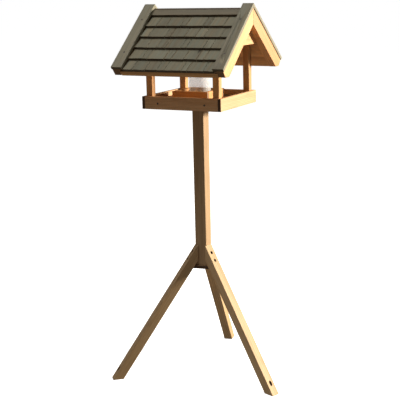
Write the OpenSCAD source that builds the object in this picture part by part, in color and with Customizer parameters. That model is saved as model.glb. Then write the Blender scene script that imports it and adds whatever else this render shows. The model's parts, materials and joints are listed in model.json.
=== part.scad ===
// Wooden bird table with a shingled gable roof, on a square pole and three splayed legs.
// X runs along the ridge, Y from front to back, Z up from the ground.
// The origin is the middle of the footprint, on the ground.

/* [Tray] */
// Outer length of the tray along the ridge
tray_l = 310; // [250:5:375]
// Outer depth of the tray
tray_d = 300; // [250:5:360]
// Height of the tray's rails
rail_h = 45; // [42:1:60]
// Thickness of the tray's rails
rail_t = 12; // [10:1:16]
// Thickness of the floor board
floor_t = 12; // [10:1:14]
// Height of the floor's underside above the rails' lower edges
floor_up = 15; // [12:1:16]
// Distance of the floor's screws from the middle of the front and back rails
floor_screw_x = 92; // [60:1:110]

/* [Corner posts] */
// Width of a square post
post_w = 24; // [20:1:32]
// Length of a post along its short outer side
post_h = 195.5; // [165:0.5:240]

/* [Seed box] */
// Outer width of the square box round the silo
box_w = 140; // [120:1:170]
// Height of the box walls above the floor
box_h = 30; // [20:1:40]
// Thickness of the box walls
box_t = 12; // [10:1:14]
// How far the box stands to the left of the silo's axis
box_off = 6; // [0:1:8]

/* [Silo] */
// Outer diameter of the tube
tube_d = 80; // [66:1:88]
// Wall of the tube
tube_wall = 2; // [1.5:0.5:3]
// Height of the tube
tube_h = 150; // [110:1:165]
// Width of a seed outlet at the foot of the tube
outlet_w = 22; // [16:1:26]
// Height of a seed outlet
outlet_h = 18; // [14:1:22]
// Radial gap between the tube and what sits inside it
tube_fit = 0.4; // [0.3:0.1:0.8]
// Height of the locating disc that the tube stands round
locator_h = 8; // [6:1:12]
// Height of the cone that spreads the seed
cone_h = 20; // [12:1:26]
// Thickness of the lid
lid_t = 5; // [4:1:8]
// How far the lid stands out past the tube
lid_over = 3; // [2:0.5:5]
// Depth of the lid's lip inside the tube
lid_lip = 7; // [5:1:10]

/* [Roof] */
// Pitch of the roof in degrees
pitch = 39; // [32:1:47]
// Overhang of the barge boards past the tray's ends
gable_over = 61; // [56:1:80]
// Overhang of the barge boards past the tray's front and back
eave_over = 104; // [90:1:125]
// Width of a barge board
barge_w = 42; // [40:1:52]
// Thickness of a barge board
barge_t = 12; // [10:1:15]
// How far a barge board stands out past the rafter under it
barge_lip = 3; // [2:1:5]
// Thickness of a rafter
rafter_t = 26; // [22:1:30]
// Depth of a rafter, square to the slope
rafter_h = 45; // [42:1:54]
// Length of the square cut at a rafter's foot
rafter_square = 26; // [20:1:32]
// Thickness of the triangular gable panels
gable_t = 10; // [9:1:13]
// Height of a gable panel's lower edge above the tray's underside
gable_up = 218; // [205:1:232]
// Thickness of the roof boarding
sark_t = 10; // [9:1:13]
// Width of one board of the roof boarding
sark_w = 60; // [50:1:72]
// How far the boarding stops short of the barge boards' ends
sark_short = 2; // [1:1:6]
// Thickness of a shingle
shingle_t = 9; // [6:0.5:11]
// How far a course lies under the one above it
shingle_lap = 20; // [15:1:25]
// Gap between neighbouring shingles
shingle_gap = 1; // [0.5:0.5:2]
// Shingles in one course
shingle_count = 8; // [6:1:10]
// How far a shingle of the first course runs up under the ridge board
ridge_cover = 12; // [8:1:15]
// How much more of the first course shows than of the others
first_show = 6; // [0:1:10]
// How far the last course hangs past the barge boards' ends
eave_drip = 2; // [0:0.5:6]
// Distance from the peak to the lower edge of a ridge board, down the slope
ridge_w = 46; // [40:1:56]
// Thickness of a ridge board
ridge_t = 9; // [8:1:12]

/* [Stand] */
// Height of the tray's underside above the ground
stand_h = 1015; // [850:5:1220]
// Length of the pole
pole_l = 596; // [490:1:720]
// Width of the square pole
pole_w = 45; // [40:1:54]
// Width of a leg, across its outer face
leg_w = 34; // [30:1:41]
// Depth of a leg, square to its outer face
leg_h = 34; // [28:1:41]
// Lean of a leg from upright, in degrees
leg_lean = 34.2; // [28:0.1:41]
// Direction of the first leg, in degrees from the ridge
leg_turn = -20; // [-45:5:45]
// Distance from the pole's axis to a leg's seat
seat_in = 25; // [23:0.5:28]
// Height of a leg's tip above the pole's lower end
seat_up = 79; // [74:1:98]
// Thickness of the hub plate under the pole
hub_t = 13; // [9:1:16]
// Distance from the pole's axis to a long edge of the hub plate
hub_in = 27; // [24:1:32]
// Width of the square plate between the pole and the floor
plate_w = 100; // [90:1:112]
// Diameter of the ground peg's hole in a foot
peg_d = 12; // [8:1:14]
// Distance from a foot's inner edge to the peg hole's axis
peg_in = 15; // [13:1:19]

/* [Screws] */
// Diameter of a thick screw
big_d = 5; // [4:0.5:6]
// Diameter of a thin screw
small_d = 3.5; // [3:0.5:4]
// Head diameter as a multiple of the screw's diameter
head_ratio = 2; // [1.8:0.1:2.2]
// Height of a screw head
head_h = 3; // [2:0.5:4]
// Depth of a head's top under the surface
sink = 0.8; // [0.5:0.1:1.5]
// Gap round a screw in its hole
screw_gap = 0.1; // [0.05:0.05:0.3]

/* [Hidden] */

// sides of the roof and ends of the tray
front = -1;
back = 1;
left = -1;
right = 1;

// rounds of the screws, the peg holes and the turned parts
fine = 48;
far = 2000;
end_gap = 0.3;

// roof, worked out from the tray and the posts
roof_half = tray_l / 2 + gable_over;
rafter_out = roof_half - barge_lip;
rafter_in = rafter_out - rafter_t;
slope_l = (tray_d / 2 + eave_over) / cos(pitch);
courses = 5;
exposure = (slope_l + eave_drip - ridge_w - first_show) / courses;

// depths below the barge boards' top surface, square to the slope
ridge_under = barge_t + ridge_t;
// distance down the slope of the line where two layers at one depth meet
function meet(depth) = depth * tan(pitch);

// shingles, the first course started below the line where the two slopes' shingles meet
lie_gap = 0.1;
most_rise = 1.4;
first_start = max(ridge_w - ridge_cover, meet(ridge_under + most_rise * shingle_t));
function butt(i) = ridge_w + first_show + i * exposure;
function course_start(i) = i == 1 ? first_start : butt(i) - exposure - shingle_lap;
function course_run(i) = butt(i) - shingle_lap - course_start(i);
function tilt(i) = asin((shingle_t + lie_gap) / course_run(i));

// the boarding lies deep enough for the first course to pass under the ridge board
first_rise = (ridge_w - first_start) * tan(tilt(1)) + shingle_t / cos(tilt(1));
sark_top = ridge_under + first_rise + lie_gap;
sark_under = sark_top + sark_t;
post_out_y = tray_d / 2 - rail_t;
post_out_x = tray_l / 2 - rail_t;
peak_z = post_h + post_out_y * tan(pitch) + sark_under / cos(pitch);

// height of the surface at a depth below the barge boards' top, over a distance from the ridge
function under_z(depth, y) = peak_z - depth / cos(pitch) - abs(y) * tan(pitch);
// distance down the slope of the point at a depth below the top, over a distance from the ridge
function slope_at(depth, y) = (abs(y) + depth * sin(pitch)) / cos(pitch);

// the courses lie between the barge boards, and their seams wander so that the shingles differ in width
course_half = roof_half - barge_w - end_gap;
seam_wander = 0.28;
function wander(i, j, side) =
    j % shingle_count == 0 ? 0 : seam_wander * sin(97 * i + 151 * j + 60 * side);
function seam(i, j, side) =
    course_half * (2 * (j + wander(i, j, side)) / shingle_count - 1);

// floor and seed box
floor_top = floor_up + floor_t;
box_mid = (box_w - box_t) / 2;

// stand
pole_foot = stand_h - pole_l;
seat_z = pole_foot + seat_up;
leg_dirs = [leg_turn, leg_turn - 120, leg_turn + 120];
foot_out = seat_in + seat_z * tan(leg_lean);
foot_in = foot_out - leg_h / cos(leg_lean);
peg_r = foot_in + peg_in;

// screws
leg_screw_drops = [28, 54];
leg_screw_tip = 10;
leg_screw_sink = 6;
barge_screw_in = 22;
barge_screw_slope = [0.255, 0.772];
gable_screw_slope = [0.22, 0.4];
gable_screw_depth = (sark_under + barge_t + rafter_h) / 2;
pole_screw_l = 60;
pole_screw_x = 11;
hub_screw_l = 60;
plate_screw = plate_w * 0.36;
floor_bite = 8;
wall_bite = 16;
rail_bite = 8;
floor_edge_bite = 25;
roof_bite = 18;
// how far out from a post's middle a roof screw starts, to meet the middle half way in
roof_screw_lead = (sark_t + roof_bite / 2) * sin(pitch);
rafter_bite = 15;
barge_screw_l = 32;

// middle of the footprint of the feet and the eaves
foot_corners = [for (a = leg_dirs, s = [-1, 1])
    [foot_out * cos(a) - s * leg_w / 2 * sin(a), foot_out * sin(a) + s * leg_w / 2 * cos(a)]];
reach_x = concat([for (p = foot_corners) p[0]], [-roof_half, roof_half]);
reach_y = concat([for (p = foot_corners) p[1]], [-slope_l * cos(pitch), slope_l * cos(pitch)]);
mid = [(min(reach_x) + max(reach_x)) / 2, (min(reach_y) + max(reach_y)) / 2];

pine = [0.80, 0.62, 0.40];
pine_dark = [0.62, 0.42, 0.24];
cedar = [0.56, 0.30, 0.16];
weathered = [0.46, 0.43, 0.37];
steel = [0.35, 0.32, 0.28];
clear_plastic = [0.80, 0.79, 0.78, 0.5];

// ---- places ----

// the pole's axis and the ground
module on_axis() {
    translate([-mid[0], -mid[1], 0]) children();
}

// the pole's axis and the tray's underside
module on_tray() {
    on_axis() translate([0, 0, stand_h]) children();
}

// a roof slope: X along the ridge, -Y down the slope from the peak, Z out of it
module on_slope(side) {
    on_tray() rotate([0, 0, side == back ? 180 : 0]) translate([0, 0, peak_z])
        rotate([pitch, 0, 0]) children();
}

// a slab in slope coordinates, from one distance to another and from one depth to another
module slab(x1, x2, k1, k2, depth1, depth2) {
    translate([x1, -k2, -depth2]) cube([x2 - x1, k2 - k1, depth2 - depth1]);
}

// everything on one side of the ridge, in tray coordinates
module half_room(side) {
    on_tray() translate([-far / 2, side == back ? 0 : -far, -far / 2]) cube([far, far, far]);
}

// the room under the roof, down to a height above the tray's underside
module under_roof(depth, low) {
    w = (under_z(depth, 0) - low) / tan(pitch);
    on_tray() rotate([90, 0, 90]) translate([0, 0, -far / 2])
        linear_extrude(height = far)
            polygon([[-w, low], [w, low], [0, under_z(depth, 0)]]);
}

// one leg's direction, outwards along X
module on_leg(a) {
    on_axis() rotate([0, 0, a]) children();
}

// ---- screws ----

// a screw pointing down, with the middle of the surface it goes through at the origin
module screw(d, l, depth = sink) {
    translate([0, 0, -depth - head_h]) cylinder(h = head_h, d = d * head_ratio, $fn = fine);
    translate([0, 0, -depth - head_h - l]) cylinder(h = l + 0.01, d = d, $fn = fine);
}

// the hole for such a screw, open at the head's side
module screw_hole(d, l, depth = sink) {
    translate([0, 0, -depth - head_h])
        cylinder(h = head_h + depth + 20, d = d * head_ratio + 2 * screw_gap, $fn = fine);
    translate([0, 0, -depth - head_h - l - screw_gap])
        cylinder(h = l + 1, d = d + 2 * screw_gap, $fn = fine);
}

// two level screws in a leg, or the holes for them
function leg_screw_l(drop) = seat_in + drop * tan(leg_lean) - leg_screw_sink - head_h - leg_screw_tip;

module leg_screw_set(a, hole) {
    for (drop = leg_screw_drops)
        on_leg(a) translate([seat_in + drop * tan(leg_lean), 0, seat_z - drop]) rotate([0, 90, 0])
            if (hole) screw_hole(big_d, leg_screw_l(drop), leg_screw_sink);
            else screw(big_d, leg_screw_l(drop), leg_screw_sink);
}

module at_hub_screw() {
    on_axis() translate([0, 0, pole_foot - hub_t]) rotate([180, 0, 0]) children();
}

module at_pole_top_screws() {
    for (s = [-1, 1]) on_tray() translate([s * pole_screw_x, 0, floor_up]) children();
}

module at_plate_screws() {
    for (x = [-1, 1], y = [-1, 1])
        on_tray() translate([x * plate_screw, y * plate_screw, 0]) rotate([180, 0, 0]) children();
}

module at_floor_screws() {
    for (x = [-1, 1], side = [front, back])
        on_tray() translate([x * floor_screw_x, side * tray_d / 2, floor_up + floor_t / 2])
            rotate([-90 * side, 0, 0]) children();
}

// two screws in each post, one into each rail, at different heights
module at_post_screws() {
    for (x = [left, right], y = [front, back]) {
        on_tray() translate([x * (post_out_x - post_w), y * (post_out_y - post_w / 2), floor_top + 5])
            rotate([0, -90 * x, 0]) children();
        on_tray() translate([x * (post_out_x - post_w / 2), y * (post_out_y - post_w), rail_h - 5])
            rotate([90 * y, 0, 0]) children();
    }
}

module at_box_screws() {
    for (p = [[0, -1], [0, 1], [-1, 0], [1, 0]])
        on_tray() translate([p[0] * box_mid - box_off, p[1] * box_mid, floor_up]) rotate([180, 0, 0])
            children();
}

module at_locator_screw() {
    on_tray() translate([0, 0, floor_up]) rotate([180, 0, 0]) children();
}

module at_gable_screws(end) {
    for (side = [front, back], k = gable_screw_slope)
        on_slope(side) translate([
            (side == back ? -end : end) * (rafter_in - gable_t), -k * slope_l, -gable_screw_depth])
            rotate([0, (side == back ? 90 : -90) * end, 0]) children();
}

module at_roof_post_screws(side) {
    for (x = [-1, 1])
        on_slope(side) translate([
            x * (post_out_x - post_w / 2),
            -slope_at(sark_top, post_out_y - post_w / 2 + roof_screw_lead), -sark_top]) children();
}

module at_barge_screws(side) {
    for (x = [-1, 1], k = barge_screw_slope)
        on_slope(side) translate([x * (roof_half - barge_screw_in), -k * slope_l, 0]) children();
}

// ---- stand ----

// the straight bar a leg is cut from, its outer face through the seat's top edge
module leg_bar(depth, width) {
    translate([seat_in, 0, seat_z]) rotate([0, -leg_lean, 0])
        translate([-leg_h, -width / 2, -far]) cube([depth, width, 1.2 * far]);
}

// each leg sits in a notch as deep as its seat, with the pole's wood left under it
module pole() {
    color(pine) difference() {
        on_axis() translate([-pole_w / 2, -pole_w / 2, pole_foot]) cube([pole_w, pole_w, pole_l]);
        for (a = leg_dirs) {
            on_leg(a) intersection() {
                translate([seat_in, -pole_w, pole_foot - 1]) cube([pole_w, 2 * pole_w, seat_up + 1]);
                leg_bar(leg_h, 4 * pole_w);
            }
            leg_screw_set(a, true);
        }
        at_hub_screw() screw_hole(big_d, hub_screw_l);
        at_pole_top_screws() screw_hole(big_d, pole_screw_l);
    }
}

module leg(a) {
    color(pine) difference() {
        on_leg(a) intersection() {
            leg_bar(leg_h, leg_w);
            translate([seat_in, -leg_w, 0]) cube([far, 2 * leg_w, seat_z]);
        }
        on_leg(a) translate([peg_r, 0, -1]) cylinder(h = far / 10, d = peg_d, $fn = fine);
        leg_screw_set(a, true);
    }
}

// three-sided plate whose corners lie against the legs' inner faces
module hub_plate() {
    color(pine_dark) difference() {
        on_leg(leg_turn) translate([0, 0, pole_foot - hub_t]) cylinder(h = hub_t, r = 2 * hub_in, $fn = 3);
        for (a = leg_dirs) on_leg(a) leg_bar(far, 4 * leg_w);
        at_hub_screw() screw_hole(big_d, hub_screw_l);
    }
}

module hub_screw() {
    color(steel) at_hub_screw() screw(big_d, hub_screw_l);
}

module leg_screws() {
    color(steel) for (a = leg_dirs) leg_screw_set(a, false);
}

module mount_plate() {
    color(pine_dark) difference() {
        on_tray() translate([-plate_w / 2, -plate_w / 2, 0]) cube([plate_w, plate_w, floor_up]);
        at_pole_top_screws() screw_hole(big_d, pole_screw_l);
        at_plate_screws() screw_hole(big_d, floor_up + floor_bite - head_h);
    }
}

module pole_top_screws() {
    color(steel) at_pole_top_screws() screw(big_d, pole_screw_l);
}

module mount_plate_screws() {
    color(steel) at_plate_screws() screw(big_d, floor_up + floor_bite - head_h);
}

// ---- tray ----

module floor_board() {
    color(pine_dark) difference() {
        on_tray() translate([-post_out_x, -post_out_y, floor_up])
            cube([2 * post_out_x, 2 * post_out_y, floor_t]);
        for (x = [left, right], y = [front, back]) post_block(x, y);
        at_plate_screws() screw_hole(big_d, floor_up + floor_bite - head_h);
        at_floor_screws() screw_hole(small_d, rail_t + floor_edge_bite - head_h);
        at_box_screws() screw_hole(small_d, floor_t + wall_bite - head_h);
        at_locator_screw() screw_hole(small_d, floor_t + wall_bite - head_h);
    }
}

// front and back rails fit between the side rails
module cross_rail(side) {
    color(pine) difference() {
        on_tray() translate([-post_out_x, side == front ? -tray_d / 2 : post_out_y, 0])
            cube([2 * post_out_x, rail_t, rail_h]);
        at_floor_screws() screw_hole(small_d, rail_t + floor_edge_bite - head_h);
        at_post_screws() screw_hole(small_d, post_w + rail_bite - head_h);
    }
}

module side_rail(end) {
    color(pine) difference() {
        on_tray() translate([end == left ? -tray_l / 2 : post_out_x, -tray_d / 2, 0])
            cube([rail_t, tray_d, rail_h]);
        at_post_screws() screw_hole(small_d, post_w + rail_bite - head_h);
    }
}

module floor_screws() {
    color(steel) at_floor_screws() screw(small_d, rail_t + floor_edge_bite - head_h);
}

module post_block(end, side) {
    on_tray() translate([
        end == left ? -post_out_x : post_out_x - post_w,
        side == front ? -post_out_y : post_out_y - post_w, 0])
        cube([post_w, post_w, peak_z]);
}

module post(end, side) {
    color(pine) difference() {
        intersection() {
            post_block(end, side);
            under_roof(sark_under, 0);
        }
        at_post_screws() screw_hole(small_d, post_w + rail_bite - head_h);
        at_roof_post_screws(side) screw_hole(small_d, sark_t + roof_bite - head_h);
    }
}

module post_screws() {
    color(steel) at_post_screws() screw(small_d, post_w + rail_bite - head_h);
}

// ---- seed box ----

module box_wall(x, y, lx, ly) {
    color(cedar) difference() {
        on_tray() translate([x - box_off - lx / 2, y - ly / 2, floor_top]) cube([lx, ly, box_h]);
        at_box_screws() screw_hole(small_d, floor_t + wall_bite - head_h);
    }
}

module box_cross(side) {
    box_wall(0, side * box_mid, box_w, box_t);
}

module box_side(end) {
    box_wall(end * box_mid, 0, box_t, box_w - 2 * box_t);
}

module box_screws() {
    color(steel) at_box_screws() screw(small_d, floor_t + wall_bite - head_h);
}

// ---- silo ----

module silo_locator() {
    r = tube_d / 2 - tube_wall - tube_fit;
    color(pine) difference() {
        on_tray() translate([0, 0, floor_top]) {
            cylinder(h = locator_h, r = r, $fn = 96);
            translate([0, 0, locator_h]) cylinder(h = cone_h, r1 = r, r2 = 3, $fn = 96);
        }
        at_locator_screw() screw_hole(small_d, floor_t + wall_bite - head_h);
    }
}

module locator_screw() {
    color(steel) at_locator_screw() screw(small_d, floor_t + wall_bite - head_h);
}

// four arched outlets at the foot of a clear tube
module silo_tube() {
    color(clear_plastic) on_tray() translate([0, 0, floor_top]) difference() {
        cylinder(h = tube_h, d = tube_d, $fn = 96);
        translate([0, 0, -1]) cylinder(h = tube_h + 2, d = tube_d - 2 * tube_wall, $fn = 96);
        for (a = [45 : 90 : 315]) rotate([0, 0, a]) {
            translate([0, -outlet_w / 2, -1])
                cube([tube_d, outlet_w, outlet_h - outlet_w / 2 + 1]);
            translate([0, 0, outlet_h - outlet_w / 2]) rotate([0, 90, 0])
                cylinder(h = tube_d, d = outlet_w, $fn = fine);
        }
    }
}

module silo_lid() {
    r = tube_d / 2 - tube_wall - tube_fit;
    color(pine_dark) on_tray() translate([0, 0, floor_top + tube_h]) {
        cylinder(h = lid_t, d = tube_d + 2 * lid_over, $fn = 96);
        translate([0, 0, -lid_lip]) cylinder(h = lid_lip + 0.01, r = r, $fn = 96);
    }
}

// ---- roof ----

// a rafter ends square, then level
module rafter(side, end) {
    level_z = peak_z - slope_l * sin(pitch) - (barge_t + rafter_square) * cos(pitch);
    s = side == back ? -end : end;
    color(pine) difference() {
        on_slope(side)
            slab(s > 0 ? rafter_in : -rafter_out, s > 0 ? rafter_out : -rafter_in,
                0, slope_l, barge_t, barge_t + rafter_h);
        half_room(-side);
        on_tray() translate([-far / 2, -far / 2, level_z - far]) cube([far, far, far]);
        at_gable_screws(end) screw_hole(small_d, gable_t + rafter_bite - head_h);
        at_barge_screws(side) screw_hole(small_d, barge_screw_l);
    }
}

module gable_panel(end) {
    color(pine) difference() {
        intersection() {
            under_roof(sark_under, gable_up);
            on_tray() translate([end == left ? -rafter_in : rafter_in - gable_t, -far / 2, 0])
                cube([gable_t, far, far]);
        }
        at_gable_screws(end) screw_hole(small_d, gable_t + rafter_bite - head_h);
    }
}

module gable_screws() {
    color(steel) for (end = [left, right])
        at_gable_screws(end) screw(small_d, gable_t + rafter_bite - head_h);
}

// boards laid up from the eave, the last one cut at the ridge
module sarking(side) {
    low = slope_l - sark_short;
    n = ceil((low - meet(sark_top)) / sark_w);
    color(pine_dark) difference() {
        on_slope(side) for (j = [0 : n - 1])
            slab(-rafter_in, rafter_in, low - (j + 1) * sark_w + end_gap, low - j * sark_w,
                sark_top, sark_under);
        half_room(-side);
        at_roof_post_screws(side) screw_hole(small_d, sark_t + roof_bite - head_h);
    }
}

module roof_post_screws() {
    color(steel) for (side = [front, back])
        at_roof_post_screws(side) screw(small_d, sark_t + roof_bite - head_h);
}

// strip along the eave that lifts the last course like the others
module starter(side) {
    starter_t = (shingle_t + lie_gap) / cos(tilt(courses)) - lie_gap;
    color(pine_dark) on_slope(side)
        slab(-rafter_in, rafter_in, butt(courses) - shingle_lap, slope_l - sark_short,
            sark_top - starter_t, sark_top);
}

// one course of lapped shingles, each tilted to lie on the course below
module shingles(side, i) {
    start = course_start(i);
    len = butt(i) - start;
    color(weathered) on_slope(side)
        for (j = [0 : shingle_count - 1])
            translate([seam(i, j, side), -start, -sark_top]) rotate([-tilt(i), 0, 0])
                translate([0, -len, 0])
                    cube([seam(i, j + 1, side) - seam(i, j, side) - shingle_gap, len, shingle_t]);
}

// the back ridge board laps over the upper edge of the front one
module ridge_board(side) {
    color(weathered) difference() {
        on_slope(side) slab(-rafter_in, rafter_in, -ridge_w, ridge_w, barge_t, ridge_under);
        on_slope(-side)
            slab(-far / 2, far / 2, -far / 2, far / 2, -far / 2, side == front ? ridge_under : barge_t);
    }
}

module barge(side, end) {
    s = side == back ? -end : end;
    color(weathered) difference() {
        on_slope(side)
            slab(s > 0 ? roof_half - barge_w : -roof_half, s > 0 ? roof_half : barge_w - roof_half,
                0, slope_l, 0, barge_t);
        half_room(-side);
        at_barge_screws(side) screw_hole(small_d, barge_screw_l);
    }
}

module barge_screws() {
    color(steel) for (side = [front, back]) at_barge_screws(side) screw(small_d, barge_screw_l);
}

// ---- the pieces ----

pole();
leg(leg_dirs[0]);  // leg_right
leg(leg_dirs[1]);  // leg_left
leg(leg_dirs[2]);  // leg_back
hub_plate();
hub_screw();
leg_screws();
mount_plate();
pole_top_screws();
mount_plate_screws();

floor_board();
cross_rail(front);  // rail_front
cross_rail(back);  // rail_back
side_rail(left);  // rail_left
side_rail(right);  // rail_right
floor_screws();
post(left, front);  // post_front_left
post(right, front);  // post_front_right
post(left, back);  // post_back_left
post(right, back);  // post_back_right
post_screws();

box_cross(front);  // box_front
box_cross(back);  // box_back
box_side(left);  // box_left
box_side(right);  // box_right
box_screws();

silo_locator();
locator_screw();
silo_tube();
silo_lid();

rafter(front, left);  // rafter_front_left
rafter(front, right);  // rafter_front_right
rafter(back, left);  // rafter_back_left
rafter(back, right);  // rafter_back_right
gable_panel(left);  // gable_panel_left
gable_panel(right);  // gable_panel_right
gable_screws();
sarking(front);  // sarking_front
sarking(back);  // sarking_back
roof_post_screws();
starter(front);  // starter_front
starter(back);  // starter_back

shingles(front, 1);  // shingles_front_1
shingles(front, 2);  // shingles_front_2
shingles(front, 3);  // shingles_front_3
shingles(front, 4);  // shingles_front_4
shingles(front, 5);  // shingles_front_5
shingles(back, 1);  // shingles_back_1
shingles(back, 2);  // shingles_back_2
shingles(back, 3);  // shingles_back_3
shingles(back, 4);  // shingles_back_4
shingles(back, 5);  // shingles_back_5

ridge_board(front);  // ridge_board_front
ridge_board(back);  // ridge_board_back
barge(front, left);  // barge_front_left
barge(front, right);  // barge_front_right
barge(back, left);  // barge_back_left
barge(back, right);  // barge_back_right
barge_screws();
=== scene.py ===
"""A wooden bird table: a railed tray under a shingled gable roof, on a square pole with three legs."""

import json
import math
import random
import zlib

import bmesh
import bpy
from mathutils import Euler, Matrix, Vector


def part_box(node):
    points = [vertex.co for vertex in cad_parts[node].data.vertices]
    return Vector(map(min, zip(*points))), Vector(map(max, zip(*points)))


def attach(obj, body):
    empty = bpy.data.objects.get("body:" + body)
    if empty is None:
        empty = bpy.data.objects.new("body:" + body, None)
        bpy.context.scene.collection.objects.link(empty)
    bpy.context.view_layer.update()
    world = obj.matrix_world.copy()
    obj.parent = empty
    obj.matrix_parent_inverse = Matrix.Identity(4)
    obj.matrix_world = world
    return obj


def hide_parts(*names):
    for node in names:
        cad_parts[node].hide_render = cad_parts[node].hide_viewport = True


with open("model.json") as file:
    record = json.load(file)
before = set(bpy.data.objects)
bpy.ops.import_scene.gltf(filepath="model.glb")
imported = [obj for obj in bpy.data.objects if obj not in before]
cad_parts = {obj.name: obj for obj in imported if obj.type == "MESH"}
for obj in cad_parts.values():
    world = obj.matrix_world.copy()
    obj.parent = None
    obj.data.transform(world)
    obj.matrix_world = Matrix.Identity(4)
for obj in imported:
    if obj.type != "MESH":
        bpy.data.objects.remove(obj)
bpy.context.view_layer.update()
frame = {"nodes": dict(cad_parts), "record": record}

MM = 0.001
HOUSE = "house"
# a face smaller than this is taken as the wall of a hole
HOLE_FACET = 48 * MM * MM
# an edge shorter than this is taken as part of a hole's rim
RIM_EDGE = 6 * MM
# a face smaller than this is taken as part of something round, and is shaded smooth
ROUND_FACET = 12 * MM * MM
# two directions are taken as the same where the cosine of the angle between them is over this
SAME_WAY = 0.75
nodes = frame["nodes"]
slot_of = {part["node"]: part["material_slot"] for part in frame["record"]["subparts"]}
scene = bpy.context.scene


# ---- camera ----

# the house's middle line and the tray's lower edge, which the camera's place is measured from
pole_low, pole_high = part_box("pole")
axis_x = (pole_low.x + pole_high.x) / 2
axis_y = (pole_low.y + pole_high.y) / 2
tray_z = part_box("rail_front")[0].z


def make_camera():
    eye = Vector((1.5910, -3.1231, 0.4358))
    turn, down, roll = math.radians(27.141), math.radians(12.654), math.radians(-1.335)
    view_angle = math.radians(23.280)
    camera = bpy.data.objects.new("camera", bpy.data.cameras.new("camera"))
    scene.collection.objects.link(camera)
    camera.data.sensor_width = 36
    camera.data.angle = view_angle
    camera.data.clip_start = 0.05
    camera.data.clip_end = 1000
    aim = Euler((math.pi / 2 - down, 0, turn)).to_matrix() @ Matrix.Rotation(roll, 3, "Z")
    camera.matrix_world = Matrix.Translation(eye + Vector((axis_x, axis_y, tray_z))) @ aim.to_4x4()
    scene.camera = camera


make_camera()


# ---- shader sums ----

class Value:
    """A number, vector or colour that a node gives. Sums on it add Math nodes."""

    def __init__(self, sheet, socket):
        self.sheet = sheet
        self.socket = socket

    def _sum(self, operation, first, second):
        return self.sheet.node("ShaderNodeMath", {"operation": operation}, {0: first, 1: second})

    def __add__(self, other):
        return self._sum("ADD", self, other)

    def __radd__(self, other):
        return self._sum("ADD", other, self)

    def __sub__(self, other):
        return self._sum("SUBTRACT", self, other)

    def __rsub__(self, other):
        return self._sum("SUBTRACT", other, self)

    def __mul__(self, other):
        return self._sum("MULTIPLY", self, other)

    def __rmul__(self, other):
        return self._sum("MULTIPLY", other, self)

    def __truediv__(self, other):
        return self._sum("DIVIDE", self, other)


class Sheet:
    """The node tree of a material or a world, and the few ways that nodes are added to it."""

    def __init__(self, owner, shader="Principled BSDF"):
        owner.use_nodes = True
        self.owner = owner
        self.tree = owner.node_tree
        self.shader = self.tree.nodes[shader]

    def node(self, kind, settings=None, inputs=None, output=0):
        made = self.tree.nodes.new(kind)
        for key, value in (settings or {}).items():
            setattr(made, key, value)
        for key, value in (inputs or {}).items():
            self.feed(made.inputs[key], value)
        return Value(self, made.outputs[output])

    def feed(self, socket, value):
        if isinstance(value, Value):
            self.tree.links.new(value.socket, socket)
        elif socket.type == "RGBA" and len(value) == 3:
            socket.default_value = (*value, 1.0)
        else:
            socket.default_value = value

    def set(self, **values):
        for key, value in values.items():
            self.feed(self.shader.inputs[key.replace("_", " ")], value)
        return self.owner

    def attribute(self, name, output=2):
        return self.node("ShaderNodeAttribute", {"attribute_name": name}, output=output)

    def grow(self, vector, factors):
        return self.node("ShaderNodeVectorMath", {"operation": "MULTIPLY"}, {0: vector, 1: factors})

    def part(self, vector, letter):
        return self.node("ShaderNodeSeparateXYZ", None, {0: vector}, output="XYZ".index(letter))

    def noise(self, vector, factors, detail=2.0, rough=0.5):
        return self.node("ShaderNodeTexNoise", None, {
            "Vector": self.grow(vector, factors), "Scale": 1.0, "Detail": detail, "Roughness": rough})

    def smooth(self, value, low, high):
        return self.node("ShaderNodeMapRange", {"interpolation_type": "SMOOTHSTEP"}, {
            "Value": value, "From Min": low, "From Max": high, "To Min": 0.0, "To Max": 1.0})

    def mix(self, share, first, second, blend="MIX"):
        return self.node("ShaderNodeMix", {"data_type": "RGBA", "blend_type": blend},
                         {0: share, 6: first, 7: second}, output=2)

    def bump(self, height, strength, distance):
        return self.node("ShaderNodeBump", None, {
            "Strength": strength, "Distance": distance, "Height": height})


# ---- finishes ----

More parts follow.
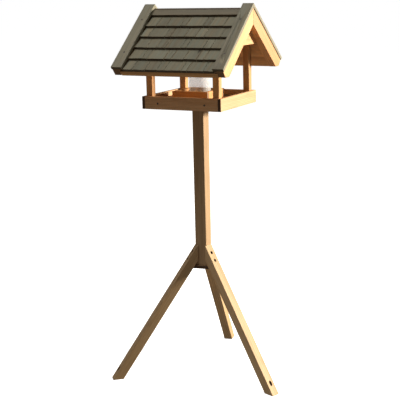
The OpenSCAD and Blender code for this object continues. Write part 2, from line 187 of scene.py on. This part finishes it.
def wood(name, light, dark, end, ring=0.0045, knots=0.8, gloss=0.0, grey=None, grey_share=0.0, saw=0.0):
    """Softwood read in each board's own grain: x along it, y across its face, z into it.

    The growth rings lie `ring` metres apart. Knots are rarer the nearer `knots` is to 1. Weather lays
    patches of `grey` over the wood, and `saw` raises the marks of the saw.
    """
    s = Sheet(bpy.data.materials.new(name))
    grain = s.attribute("grain", 1)
    board_tone = s.attribute("tone")
    cut = s.attribute("cut")
    arris = s.attribute("arris")
    across = s.part(grain, "Y")
    deep = s.part(grain, "Z")

    # knots, sparse, that the rings bend round
    cell = s.grow(grain, (6.5, 21.0, 12.0))
    spots = {"voronoi_dimensions": "3D", "feature": "F1"}
    knot_gap = s.node("ShaderNodeTexVoronoi", spots, {"Vector": cell, "Scale": 1.0})
    knot_pick = s.node("ShaderNodeTexVoronoi", spots, {"Vector": cell, "Scale": 1.0}, output=1)
    there = s.smooth(s.part(knot_pick, "X"), knots, knots + 0.03)
    knot = (1 - s.smooth(knot_gap, 0.05, 0.15)) * there
    bend = (1 - s.smooth(knot_gap, 0.05, 0.55)) * there

    drift = s.noise(grain, (3.0, 11.0, 11.0), detail=1.0)
    waver = s.noise(grain, (14.0, 60.0, 60.0))
    place = (across + 0.55 * deep + 0.02 * drift + 0.0016 * waver + 0.006 * bend) / ring
    step = s.node("ShaderNodeMath", {"operation": "FRACT"}, {0: place})
    late = s.smooth(step, 0.35, 0.92) * (1 - s.smooth(step, 0.93, 1.0))
    fibre = s.noise(grain, (22.0, 1100.0, 1100.0), detail=3.0, rough=0.6)
    streak = s.noise(grain, (4.0, 210.0, 210.0))
    cloud = s.noise(grain, (2.2, 17.0, 17.0))

    depth = 0.42 * late + 0.30 * s.smooth(streak, 0.35, 0.75) + 0.35 * s.smooth(cloud, 0.35, 0.75)
    colour = s.mix(depth, light, dark)
    colour = s.mix(s.smooth(fibre, 0.45, 0.8) * 0.35, colour, tuple(0.55 * c for c in dark))
    if grey:
        patch = s.smooth(s.noise(grain, (5.0, 75.0, 75.0), detail=3.0), 0.30, 0.72)
        colour = s.mix(patch * grey_share, colour, grey)
    colour = s.mix(knot * 0.85, colour, tuple(0.30 * c for c in dark))
    colour = s.mix(bend * 0.22, colour, dark)
    shade = s.mix(board_tone, (0.80, 0.78, 0.76), (1.16, 1.16, 1.17))
    colour = s.mix(1.0, colour, shade, "MULTIPLY")

    # dark end grain with its rings, which the same mask also lays on some boards' edges and upper sides
    # as painted shade; and arrises rubbed a little paler
    bow = s.node("ShaderNodeMath", {"operation": "PINGPONG"}, {
        0: (across * across + (deep + 0.03) * (deep + 0.03)) * 900.0 + 0.4 * waver, 1: 0.5})
    end_colour = s.mix(s.smooth(bow, 0.1, 0.4), end, tuple(1.9 * c for c in end))
    colour = s.mix(cut, colour, end_colour)
    rubbed = arris * s.smooth(s.noise(grain, (40.0, 40.0, 40.0), detail=3.0), 0.42, 0.62)
    colour = s.mix(rubbed * 0.35, colour, tuple(min(1.0, 1.25 * c) for c in light))
    soiled = s.smooth(s.noise(grain, (9.0, 26.0, 26.0), detail=4.0), 0.56, 0.78)
    colour = s.mix(soiled * 0.22, colour, tuple(0.45 * c for c in dark))

    height = 0.5 * late + 0.7 * fibre + 0.3 * streak - 0.8 * knot
    if saw:
        mark = s.node("ShaderNodeTexWave", {"bands_direction": "X"}, {
            "Vector": grain, "Scale": 95.0, "Distortion": 1.4, "Detail": 2.0})
        height = height + saw * mark
    rough = 0.50 + 0.22 * fibre + 0.12 * cut - gloss + 0.1 * soiled
    return s.set(Base_Color=colour, Roughness=rough, Normal=s.bump(height, 0.55, 0.0005),
                 Specular_IOR_Level=0.35)


def steel():
    """Darkened screws with a thin film on them and specks of rust."""
    s = Sheet(bpy.data.materials.new("dull_screw_steel"))
    spot = s.node("ShaderNodeTexCoord", output=3)
    film = s.noise(spot, (420.0, 420.0, 420.0), detail=4.0, rough=0.65)
    rust = s.smooth(s.noise(spot, (150.0, 150.0, 150.0), detail=3.0), 0.50, 0.72)
    colour = s.mix(film, (0.055, 0.050, 0.045), (0.17, 0.155, 0.14))
    colour = s.mix(rust * 0.7, colour, (0.13, 0.055, 0.022))
    return s.set(Base_Color=colour, Metallic=1 - 0.8 * rust, Roughness=0.34 + 0.3 * film + 0.2 * rust,
                 Normal=s.bump(film, 0.3, 0.0002))


def clear_plastic():
    """A clear tube with fine scuffs and patchy dust, darker, browner and less clear towards its foot."""
    s = Sheet(bpy.data.materials.new("clear_tube_plastic"))
    spot = s.node("ShaderNodeTexCoord", output=3)
    dust = s.smooth(s.noise(spot, (24.0, 24.0, 5.0), detail=3.0, rough=0.5), 0.35, 0.80)
    scuff = s.smooth(s.noise(spot, (170.0, 170.0, 14.0), detail=3.0), 0.60, 0.80)
    low_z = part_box("silo_tube")[0].z
    foot = 1 - s.smooth(s.part(spot, "Z"), low_z + 0.005, low_z + 0.060)
    colour = s.mix(dust * 0.25 + foot * 0.3, (0.94, 0.94, 0.93), (0.68, 0.63, 0.56))
    return s.set(Base_Color=colour, Roughness=0.30 + 0.14 * dust + 0.10 * scuff, IOR=1.49,
                 Alpha=0.19 + 0.06 * dust + 0.03 * scuff + 0.10 * foot, Specular_IOR_Level=0.4,
                 Normal=s.bump(scuff, 0.03, 0.0002))


END_DARK = (0.060, 0.032, 0.017)
END_BROWN = (0.12, 0.065, 0.030)
END_PALE = (0.16, 0.085, 0.040)
finishes = {
    "rail_wood": wood("pine_of_the_rails", (0.76, 0.47, 0.255), (0.45, 0.235, 0.095), END_DARK),
    "post_wood": wood("pine_of_the_posts", (0.68, 0.38, 0.150), (0.40, 0.17, 0.054), END_DARK),
    "gable_wood": wood("pine_of_the_gables", (0.76, 0.42, 0.19), (0.47, 0.22, 0.078), END_BROWN),
    "pole_wood": wood("pine_of_the_pole", (0.53, 0.355, 0.195), (0.31, 0.17, 0.075), END_PALE),
    "leg_wood": wood("pine_of_the_legs", (0.62, 0.43, 0.235), (0.38, 0.215, 0.090), END_DARK, knots=0.72),
    "plate_wood": wood("pine_of_the_plates", (0.46, 0.29, 0.15), (0.25, 0.14, 0.065), END_DARK),
    "box_wood": wood("red_brown_box_wood", (0.72, 0.36, 0.115), (0.44, 0.16, 0.042), END_PALE, ring=0.003,
                     knots=0.97, gloss=0.06),
    "roof_wood": wood("greyed_roof_boards", (0.31, 0.27, 0.175), (0.155, 0.120, 0.070),
                      (0.060, 0.043, 0.024), grey=(0.215, 0.213, 0.155), grey_share=0.6),
    "shingle_wood": wood("greyed_shingles", (0.27, 0.225, 0.135), (0.105, 0.080, 0.046),
                         (0.050, 0.036, 0.021), ring=0.0032, knots=0.78, grey=(0.180, 0.185, 0.130),
                         grey_share=0.75, saw=0.5),
    "screws": steel(),
    "clear_tube": clear_plastic(),
}


# ---- boards ----

def merged_copy(node):
    """A node's closed shape, the small triangles of its CAD mesh joined into whole flat faces."""
    bm = bmesh.new()
    bm.from_mesh(nodes[node].data)
    bmesh.ops.remove_doubles(bm, verts=bm.verts, dist=0.004 * MM)
    bmesh.ops.dissolve_limit(bm, angle_limit=math.radians(0.5), verts=bm.verts, edges=bm.edges)
    return bm


def islands(bm):
    """The separate boards or screws of one node, each as its list of vertices."""
    left = set(bm.verts)
    found = []
    for start in bm.verts:
        if start not in left:
            continue
        left.discard(start)
        group, ahead = [start], [start]
        while ahead:
            vert = ahead.pop()
            for edge in vert.link_edges:
                other = edge.other_vert(vert)
                if other in left:
                    left.discard(other)
                    group.append(other)
                    ahead.append(other)
        found.append(group)
    return found


def grain_axes(group, off_ridge):
    """Along the longest straight edge, then across the board's face, then through its thickness.

    Boards that lie off the ridge have their grain down the slope, so edges along the ridge don't count.
    """
    edges = {edge for vert in group for edge in vert.link_edges}
    if off_ridge:
        edges = {edge for edge in edges
                 if abs((edge.verts[1].co - edge.verts[0].co).normalized().x) < 0.5}

    # of equally long edges the same one is always taken
    def length_then_place(edge):
        start = edge.verts[0].co
        return round(edge.calc_length(), 6), start.z + 2 * start.x

    longest = max(edges, key=length_then_place)
    along = (longest.verts[1].co - longest.verts[0].co).normalized()
    side = along.cross(Vector((0, 0, 1)) if abs(along.z) < 0.9 else Vector((1, 0, 0))).normalized()
    # the board is thinnest through its thickness, and another way has to be clearly thinner to be taken
    clearly = 0.01 * MM
    least = math.inf
    for turn in range(0, 180, 15):
        way = Matrix.Rotation(math.radians(turn), 3, along) @ side
        reach = [vert.co.dot(way) for vert in group]
        spread = max(reach) - min(reach)
        if spread < least - clearly:
            least, thin = spread, way
    return along, thin.cross(along), thin


def paint_grain(bm, rng, off_ridge, dark_face=0.0, dark_edge=0.0, dark_top=0.0):
    """Each vertex gets its place in its board's grain, each face its tone and how far it is painted as
    dark as end grain.

    The walls of holes are as dark as the ends; faces, long edges and upper sides can be partly so, which
    on some kinds is painted shade.
    """
    grain = bm.verts.layers.float_vector.new("grain")
    tone = bm.faces.layers.float.new("tone")
    cut = bm.faces.layers.float.new("cut")
    for group in islands(bm):
        along, across, thin = grain_axes(group, off_ridge)
        shift = Vector([rng.uniform(-3, 3) for _ in range(3)])
        middle = sum((vert.co for vert in group), Vector()) / len(group)
        shade = rng.random()
        for vert in group:
            local = vert.co - middle
            vert[grain] = shift + Vector((local.dot(along), local.dot(across), local.dot(thin)))
        for face in {face for vert in group for face in vert.link_faces}:
            face[tone] = shade
            # faces, upper sides and long edges painted partly dark; on some kinds this is painted shade
            face[cut] = dark_top if face.normal.z > 0.5 else dark_face
            if face.calc_area() < HOLE_FACET or abs(face.normal.dot(along)) > SAME_WAY:
                face[cut] = 1.0
            elif abs(face.normal.dot(across)) > SAME_WAY:
                face[cut] = dark_edge


def round_arrises(bm, width):
    """Rounds the board's long edges; the rims of screw holes stay crisp."""
    arris = bm.faces.layers.float.new("arris")
    sharp = [edge for edge in bm.edges if len(edge.link_faces) == 2 and edge.calc_length() > RIM_EDGE
             and edge.calc_face_angle() > math.radians(25)]
    made = bmesh.ops.bevel(bm, geom=sharp, offset=width, offset_type="OFFSET", affect="EDGES",
                           segments=2, profile=0.5, material=-1, clamp_overlap=False)
    for face in made["faces"]:
        face[arris] = 1.0
        face.smooth = True
    for face in bm.faces:
        if face.calc_area() < ROUND_FACET:
            face.smooth = True


def to_piece(bm, name, node, body):
    """Makes the shape a piece that takes the place of one node and moves with one body."""
    mesh = bpy.data.meshes.new(name)
    bm.to_mesh(mesh)
    bm.free()
    piece = bpy.data.objects.new(name, mesh)
    scene.collection.objects.link(piece)
    mesh.materials.append(finishes[slot_of[node]])
    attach(piece, body)
    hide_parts(node)
    return piece


# how far the arrises of shingles, and of each kind of board, are rounded, in millimetres
shingle_arris = 0.9
arris_widths = {
    "pole": 2.0, "leg": 1.8, "hub_plate": 1.0, "mount_plate": 1.0, "floor_board": 0.7, "rail": 1.2,
    "post": 1.4, "box": 1.0, "rafter": 1.2, "gable_panel": 0.8, "sarking": 0.8, "starter": 0.6,
    "ridge_board": 0.9, "barge": 1.3,
}
# how far some kinds' faces, long edges and upper sides are painted darker, from 0 to 1: painted shade on
# the ridge boards' long edges and on the sarking's and starter's upper sides, which lie under the
# shingles; the other values only make those faces darker
painted_darkening = {
    "ridge_board": (0.60, 0.98, 0.60), "sarking": (0.0, 0.10, 0.85), "starter": (0.0, 0.20, 0.85),
}


def board(node, kind):
    """A planed board: the CAD shape with rounded arrises and its own stretch of grain."""
    rng = random.Random(zlib.crc32(node.encode()))
    bm = merged_copy(node)
    # some kinds are painted darker on faces, long edges and upper sides, partly as painted shade
    paint_grain(bm, rng, False, *painted_darkening.get(kind, (0.0, 0.0, 0.0)))
    round_arrises(bm, arris_widths[kind] * MM)
    to_piece(bm, node + "_wood", node, HOUSE)


def trim_butt(group, rng):
    """Shortens a shingle a little and out of square at its lower end."""
    butt_end = 12 * MM
    most_trim = 1.6
    top = max(group, key=lambda vert: vert.co.z).co
    low = min(group, key=lambda vert: vert.co.z).co
    down = Vector((0, low.y - top.y, low.z - top.z)).normalized()
    reach = max(vert.co.dot(down) for vert in group)
    middle_x = sum(vert.co.x for vert in group) / len(group)
    left_trim = rng.uniform(0.0, most_trim) * MM
    right_trim = rng.uniform(0.0, most_trim) * MM
    for vert in group:
        if vert.co.dot(down) > reach - butt_end:
            vert.co -= down * (right_trim if vert.co.x > middle_x else left_trim)


def shingle_course(node):
    """Rough sawn shingles with worn edges, their lower ends trimmed by hand."""
    rng = random.Random(zlib.crc32(node.encode()))
    bm = merged_copy(node)
    paint_grain(bm, rng, True)
    for group in islands(bm):
        trim_butt(group, rng)
    round_arrises(bm, shingle_arris * MM)
    to_piece(bm, node + "_wood", node, HOUSE)


for board_kind in arris_widths:
    for node_name in slot_of:
        if node_name.startswith(board_kind) and "screw" not in node_name:
            board(node_name, board_kind)
for node_name in sorted(nodes):
    if node_name.startswith("shingles"):
        shingle_course(node_name)


# ---- screws ----

def spun(outline, steps):
    """A closed shape turned round the Z axis, from its half outline in metres."""
    bm = bmesh.new()
    verts = [bm.verts.new((r, 0, z)) for r, z in outline]
    edges = [bm.edges.new(pair) for pair in zip(verts, verts[1:])]
    bmesh.ops.spin(bm, geom=verts + edges, cent=(0, 0, 0), axis=(0, 0, 1), angle=2 * math.pi,
                   steps=steps, use_merge=True)
    bmesh.ops.remove_doubles(bm, verts=bm.verts, dist=0.01 * MM)
    bmesh.ops.recalc_face_normals(bm, faces=bm.faces)
    return bm


def screw_shape(head_r, head_h, shank_r, length):
    """A screw pointing down, its head's top at z 0, with a ringed thread and a drawn point."""
    thread_top = -head_h - 0.3 * length
    thread_end = -head_h - length + 3 * shank_r
    rings = max(4, int((length - 8 * shank_r / 3) / (1.7 * MM)))
    ring_gap = (thread_end - thread_top) / rings
    outline = [(0.0, -0.18 * head_h), (0.30 * head_r, -0.10 * head_h), (0.86 * head_r, 0.0),
               (head_r, -0.16 * head_h), (head_r, -0.34 * head_h), (shank_r, -head_h),
               (0.93 * shank_r, thread_top)]
    for ring in range(rings):
        crest = thread_top + ring_gap * (ring + 0.5)
        outline += [(shank_r, crest), (0.70 * shank_r, crest + 0.5 * ring_gap)]
    outline.append((0.0, -head_h - length))
    return spun(outline, steps=20)


def cross_slot(head_r, head_h):
    """The two crossed tapering wings that the driver's slot takes out of a head."""
    bm = bmesh.new()
    for turn in (0, math.pi / 2):
        wing = bmesh.ops.create_cube(bm, size=1.0)["verts"]
        bmesh.ops.scale(bm, vec=(1.15 * head_r, 0.26 * head_r, 1.1 * head_h), verts=wing)
        low = [vert for vert in wing if vert.co.z < 0]
        bmesh.ops.scale(bm, vec=(0.35, 0.7, 1.0), verts=low)
        bmesh.ops.rotate(bm, cent=(0, 0, 0), matrix=Matrix.Rotation(turn, 3, "Z"), verts=wing)
    return bm


def cut_away(bm, cutter_bm):
    """The first shape less the second, by an applied Boolean."""
    objects = []
    for part in (bm, cutter_bm):
        mesh = bpy.data.meshes.new("cutting")
        part.to_mesh(mesh)
        part.free()
        made = bpy.data.objects.new("cutting", mesh)
        scene.collection.objects.link(made)
        objects.append(made)
    body, cutter = objects
    step = body.modifiers.new("cut", "BOOLEAN")
    step.operation = "DIFFERENCE"
    step.solver = "EXACT"
    step.use_self = True
    step.object = cutter
    bpy.context.view_layer.update()
    evaluated = body.evaluated_get(bpy.context.evaluated_depsgraph_get())
    result = bmesh.new()
    result.from_mesh(evaluated.to_mesh())
    evaluated.to_mesh_clear()
    for made in objects:
        mesh = made.data
        bpy.data.objects.remove(made)
        bpy.data.meshes.remove(mesh)
    return result


def end_radius(points, middle, way, height):
    """A screw's radius where it ends, at a height along its direction."""
    slack = 0.1 * MM
    return max((point - middle - way * (point - middle).dot(way)).length
               for point in points if abs(point.dot(way) - height) < slack)


def screw_places(node):
    """Each screw's head top, its direction, head radius, head height, shank radius and shank length."""
    thinnest_head = 0.5 * MM
    bm = merged_copy(node)
    found = []
    for group in islands(bm):
        points = [vert.co for vert in group]
        middle = sum(points, Vector()) / len(points)
        shank_edge = max((edge for vert in group for edge in vert.link_edges),
                         key=lambda edge: edge.calc_length())
        way = (shank_edge.verts[1].co - shank_edge.verts[0].co).normalized()
        heights = [point.dot(way) for point in points]
        if end_radius(points, middle, way, min(heights)) > end_radius(points, middle, way, max(heights)):
            way = -way
            heights = [-height for height in heights]
        low, high = min(heights), max(heights)
        seat = max(height for height in heights if height < high - thinnest_head)
        place = middle + way * (high - middle.dot(way))
        found.append((place, way, end_radius(points, middle, way, high), high - seat,
                      end_radius(points, middle, way, low), seat - low))
    bm.free()
    return found


def screws(node):
    """Every screw of a node, each with its slot turned its own way."""
    rng = random.Random(zlib.crc32(node.encode()))
    whole = bmesh.new()
    shape = None
    for place, way, head_r, head_h, shank_r, length in screw_places(node):
        if shape is None:
            shape = cut_away(screw_shape(head_r, head_h, shank_r, length), cross_slot(head_r, head_h))
        one = bpy.data.meshes.new("screw")
        shape.to_mesh(one)
        turn = Matrix.Rotation(rng.uniform(0, math.pi), 4, "Z")
        one.transform(Matrix.Translation(place) @ way.to_track_quat("Z", "Y").to_matrix().to_4x4() @ turn)
        whole.from_mesh(one)
        bpy.data.meshes.remove(one)
    shape.free()
    for face in whole.faces:
        face.smooth = True
    piece = to_piece(whole, node + "_steel", node, HOUSE)
    piece.data.set_sharp_from_angle(angle=math.radians(35))


for node_name in sorted(nodes):
    if "screw" in node_name:
        screws(node_name)


# ---- silo ----

# all of the silo's sizes are in millimetres
TUBE_WALL = 2.0
OUTLET_W = 22.0
OUTLET_H = 18.0


def turned(outline, steps=96):
    """A smooth shape of the silo's, from its half outline in millimetres."""
    bm = spun([(r * MM, z * MM) for r, z in outline], steps)
    for face in bm.faces:
        face.smooth = True
    return bm


def on_silo(bm, z):
    bmesh.ops.translate(bm, vec=(axis_x, axis_y, z), verts=bm.verts)
    return bm


def measures(node):
    """A turned node's foot in metres, then its height and its radius in millimetres."""
    low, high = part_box(node)
    return low.z, (high.z - low.z) / MM, (high.x - low.x) / 2 / MM


def press_flutes(bm, wall_middle, low, high):
    """Draws the outer face of the tube in by shallow upright flutes, between two heights."""
    flute, flutes = 0.4, 24
    for vert in bm.verts:
        if low * MM < vert.co.z < high * MM:
            angle = math.atan2(vert.co.y, vert.co.x)
            reach = math.hypot(vert.co.x, vert.co.y)
            if reach > wall_middle * MM:
                grow = 1 - flute * MM * (0.5 - 0.5 * math.cos(flutes * angle)) / reach
                vert.co.x *= grow
                vert.co.y *= grow


def outlet_cutter():
    """Four arches on the diagonals, which start at the tube's axis and pass through its wall."""
    below, length = 40, 60
    cutter = bmesh.new()
    for quarter in range(4):
        made = bmesh.ops.create_circle(cutter, cap_ends=True, segments=32, radius=OUTLET_W / 2 * MM)
        arch = made["verts"]
        for vert in arch:
            if vert.co.y < 0:
                vert.co.y = -below * MM
        bmesh.ops.rotate(cutter, cent=(0, 0, 0), matrix=Matrix.Rotation(math.pi / 2, 3, "X"), verts=arch)
        face = arch[0].link_faces[0]
        pushed = bmesh.ops.extrude_face_region(cutter, geom=[face])["geom"]
        pushed = [item for item in pushed if isinstance(item, bmesh.types.BMVert)]
        bmesh.ops.translate(cutter, vec=(0, -length * MM, 0), verts=pushed)
        whole = arch + pushed
        bmesh.ops.translate(cutter, vec=(0, 0, (OUTLET_H - OUTLET_W / 2) * MM), verts=whole)
        bmesh.ops.rotate(cutter, cent=(0, 0, 0), verts=whole,
                         matrix=Matrix.Rotation(math.radians(45 + 90 * quarter), 3, "Z"))
    bmesh.ops.recalc_face_normals(cutter, faces=cutter.faces)
    return cutter


def silo_tube():
    """A clear tube with shallow flutes, softened rims and four arched outlets at its foot."""
    z0, tall, r = measures("silo_tube")
    bore = r - TUBE_WALL
    outer_soft, inner_soft, plain_end = 0.6, 0.5, 2
    rows = [14, 28, 60, 100, tall - 3]
    outside = [(r - outer_soft, 0.0), (r, outer_soft)] + [(r, z) for z in rows]
    outside += [(r, tall - outer_soft), (r - outer_soft, tall)]
    inside = [(bore + inner_soft, tall), (bore, tall - inner_soft)] + [(bore, z) for z in reversed(rows)]
    inside += [(bore, inner_soft), (bore + inner_soft, 0.0)]
    bm = turned(outside + inside + [outside[0]], steps=192)
    press_flutes(bm, r - TUBE_WALL / 2, plain_end, tall - plain_end)
    bm = cut_away(bm, outlet_cutter())
    on_silo(bm, z0)
    piece = to_piece(bm, "silo_tube_clear", "silo_tube", "silo_tube")
    piece.data.set_sharp_from_angle(angle=math.radians(30))


def turned_wood(node, outline, body):
    """A turned wooden piece, the grain across it."""
    bm = turned(outline)
    on_silo(bm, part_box(node)[0].z)
    rng = random.Random(zlib.crc32(node.encode()))
    grain = bm.verts.layers.float_vector.new("grain")
    shift = Vector([rng.uniform(-3, 3) for _ in range(3)])
    for vert in bm.verts:
        vert[grain] = shift + vert.co
    for layer, value in (("tone", rng.random()), ("cut", 0.0), ("arris", 0.0)):
        values = bm.faces.layers.float.new(layer)
        for face in bm.faces:
            face[values] = value
    piece = to_piece(bm, node + "_turned", node, body)
    piece.data.set_sharp_from_angle(angle=math.radians(40))


def silo_lid():
    """A disc that overhangs the tube, with a lip that drops loosely into it."""
    tall, r = measures("silo_lid")[1:]
    lip_h, lip_gap = 7.0, 0.4
    lip_r = measures("silo_tube")[2] - TUBE_WALL - lip_gap
    turned_wood("silo_lid", [
        (0, 0), (lip_r - 1.2, 0), (lip_r, 1.2), (lip_r, lip_h), (r - 0.8, lip_h), (r, lip_h + 0.8),
        (r, tall - 1.8), (r - 0.5, tall - 0.5), (r - 1.8, tall), (0, tall)], "silo_lid")


def silo_locator():
    """A disc with a blunt cone on it, on the tray's floor, that the tube stands round."""
    tall, r = measures("silo_locator")[1:]
    shoulder, soft, tip_r = 8.0, 0.4, 2.6
    turned_wood("silo_locator", [
        (0, 0), (r - 0.5, 0), (r, 0.5), (r, shoulder - soft), (r - 0.9, shoulder + soft),
        (tip_r + 0.6, tall - soft), (tip_r, tall), (0, tall)], HOUSE)


silo_tube()
silo_lid()
silo_locator()


# ---- floor and light ----

def studio_floor():
    bm = bmesh.new()
    bmesh.ops.create_circle(bm, cap_ends=True, segments=64, radius=420.0)
    mesh = bpy.data.meshes.new("studio_floor")
    bm.to_mesh(mesh)
    bm.free()
    floor = bpy.data.objects.new("studio_floor", mesh)
    scene.collection.objects.link(floor)
    s = Sheet(bpy.data.materials.new("studio_floor_paint"))
    mesh.materials.append(s.set(Base_Color=(0.88, 0.88, 0.88), Roughness=0.9,
                                Emission_Color=(1.0, 1.0, 1.0), Emission_Strength=0.90))
    # seen by the eye alone, so that its glow doesn't wash out the shaded sides
    floor.visible_diffuse = False
    floor.visible_glossy = False


def studio_air(overhead, underfoot):
    """Even, dim light from all round, warmer and stronger from below.

    The eye sees a pale backdrop past the floor's edge, whatever lights the house.
    """
    s = Sheet(bpy.data.worlds.new("studio_air"), "Background")
    upward = s.part(s.node("ShaderNodeTexCoord"), "Z")
    glow = s.mix(upward + 0.5, underfoot, overhead)
    eye_ray = s.node("ShaderNodeLightPath")
    scene.world = s.set(Color=s.mix(eye_ray, glow, (0.93, 0.93, 0.93)), Strength=1.0)


def lamp(name, way, distance, size, power, colour):
    """A square soft light that looks at the house from one direction."""
    light = bpy.data.lights.new(name, "AREA")
    light.shape = "SQUARE"
    light.size = size
    light.energy = power
    light.color = colour
    made = bpy.data.objects.new(name, light)
    scene.collection.objects.link(made)
    away = Vector(way).normalized()
    target = Vector((axis_x, axis_y, 0.75))
    aim = away.to_track_quat("Z", "Y").to_matrix().to_4x4()
    made.matrix_world = Matrix.Translation(target + away * distance) @ aim


scene.view_settings.view_transform = "Standard"
studio_floor()
studio_air((0.105, 0.108, 0.110), (0.270, 0.240, 0.195))
lamp("key_light", (1.0, 0.7, 0.31), 6.0, 0.7, 930.0, (1.0, 0.93, 0.80))
lamp("top_light", (-0.1, -0.25, 1.0), 4.0, 2.4, 95.0, (0.97, 0.98, 1.0))
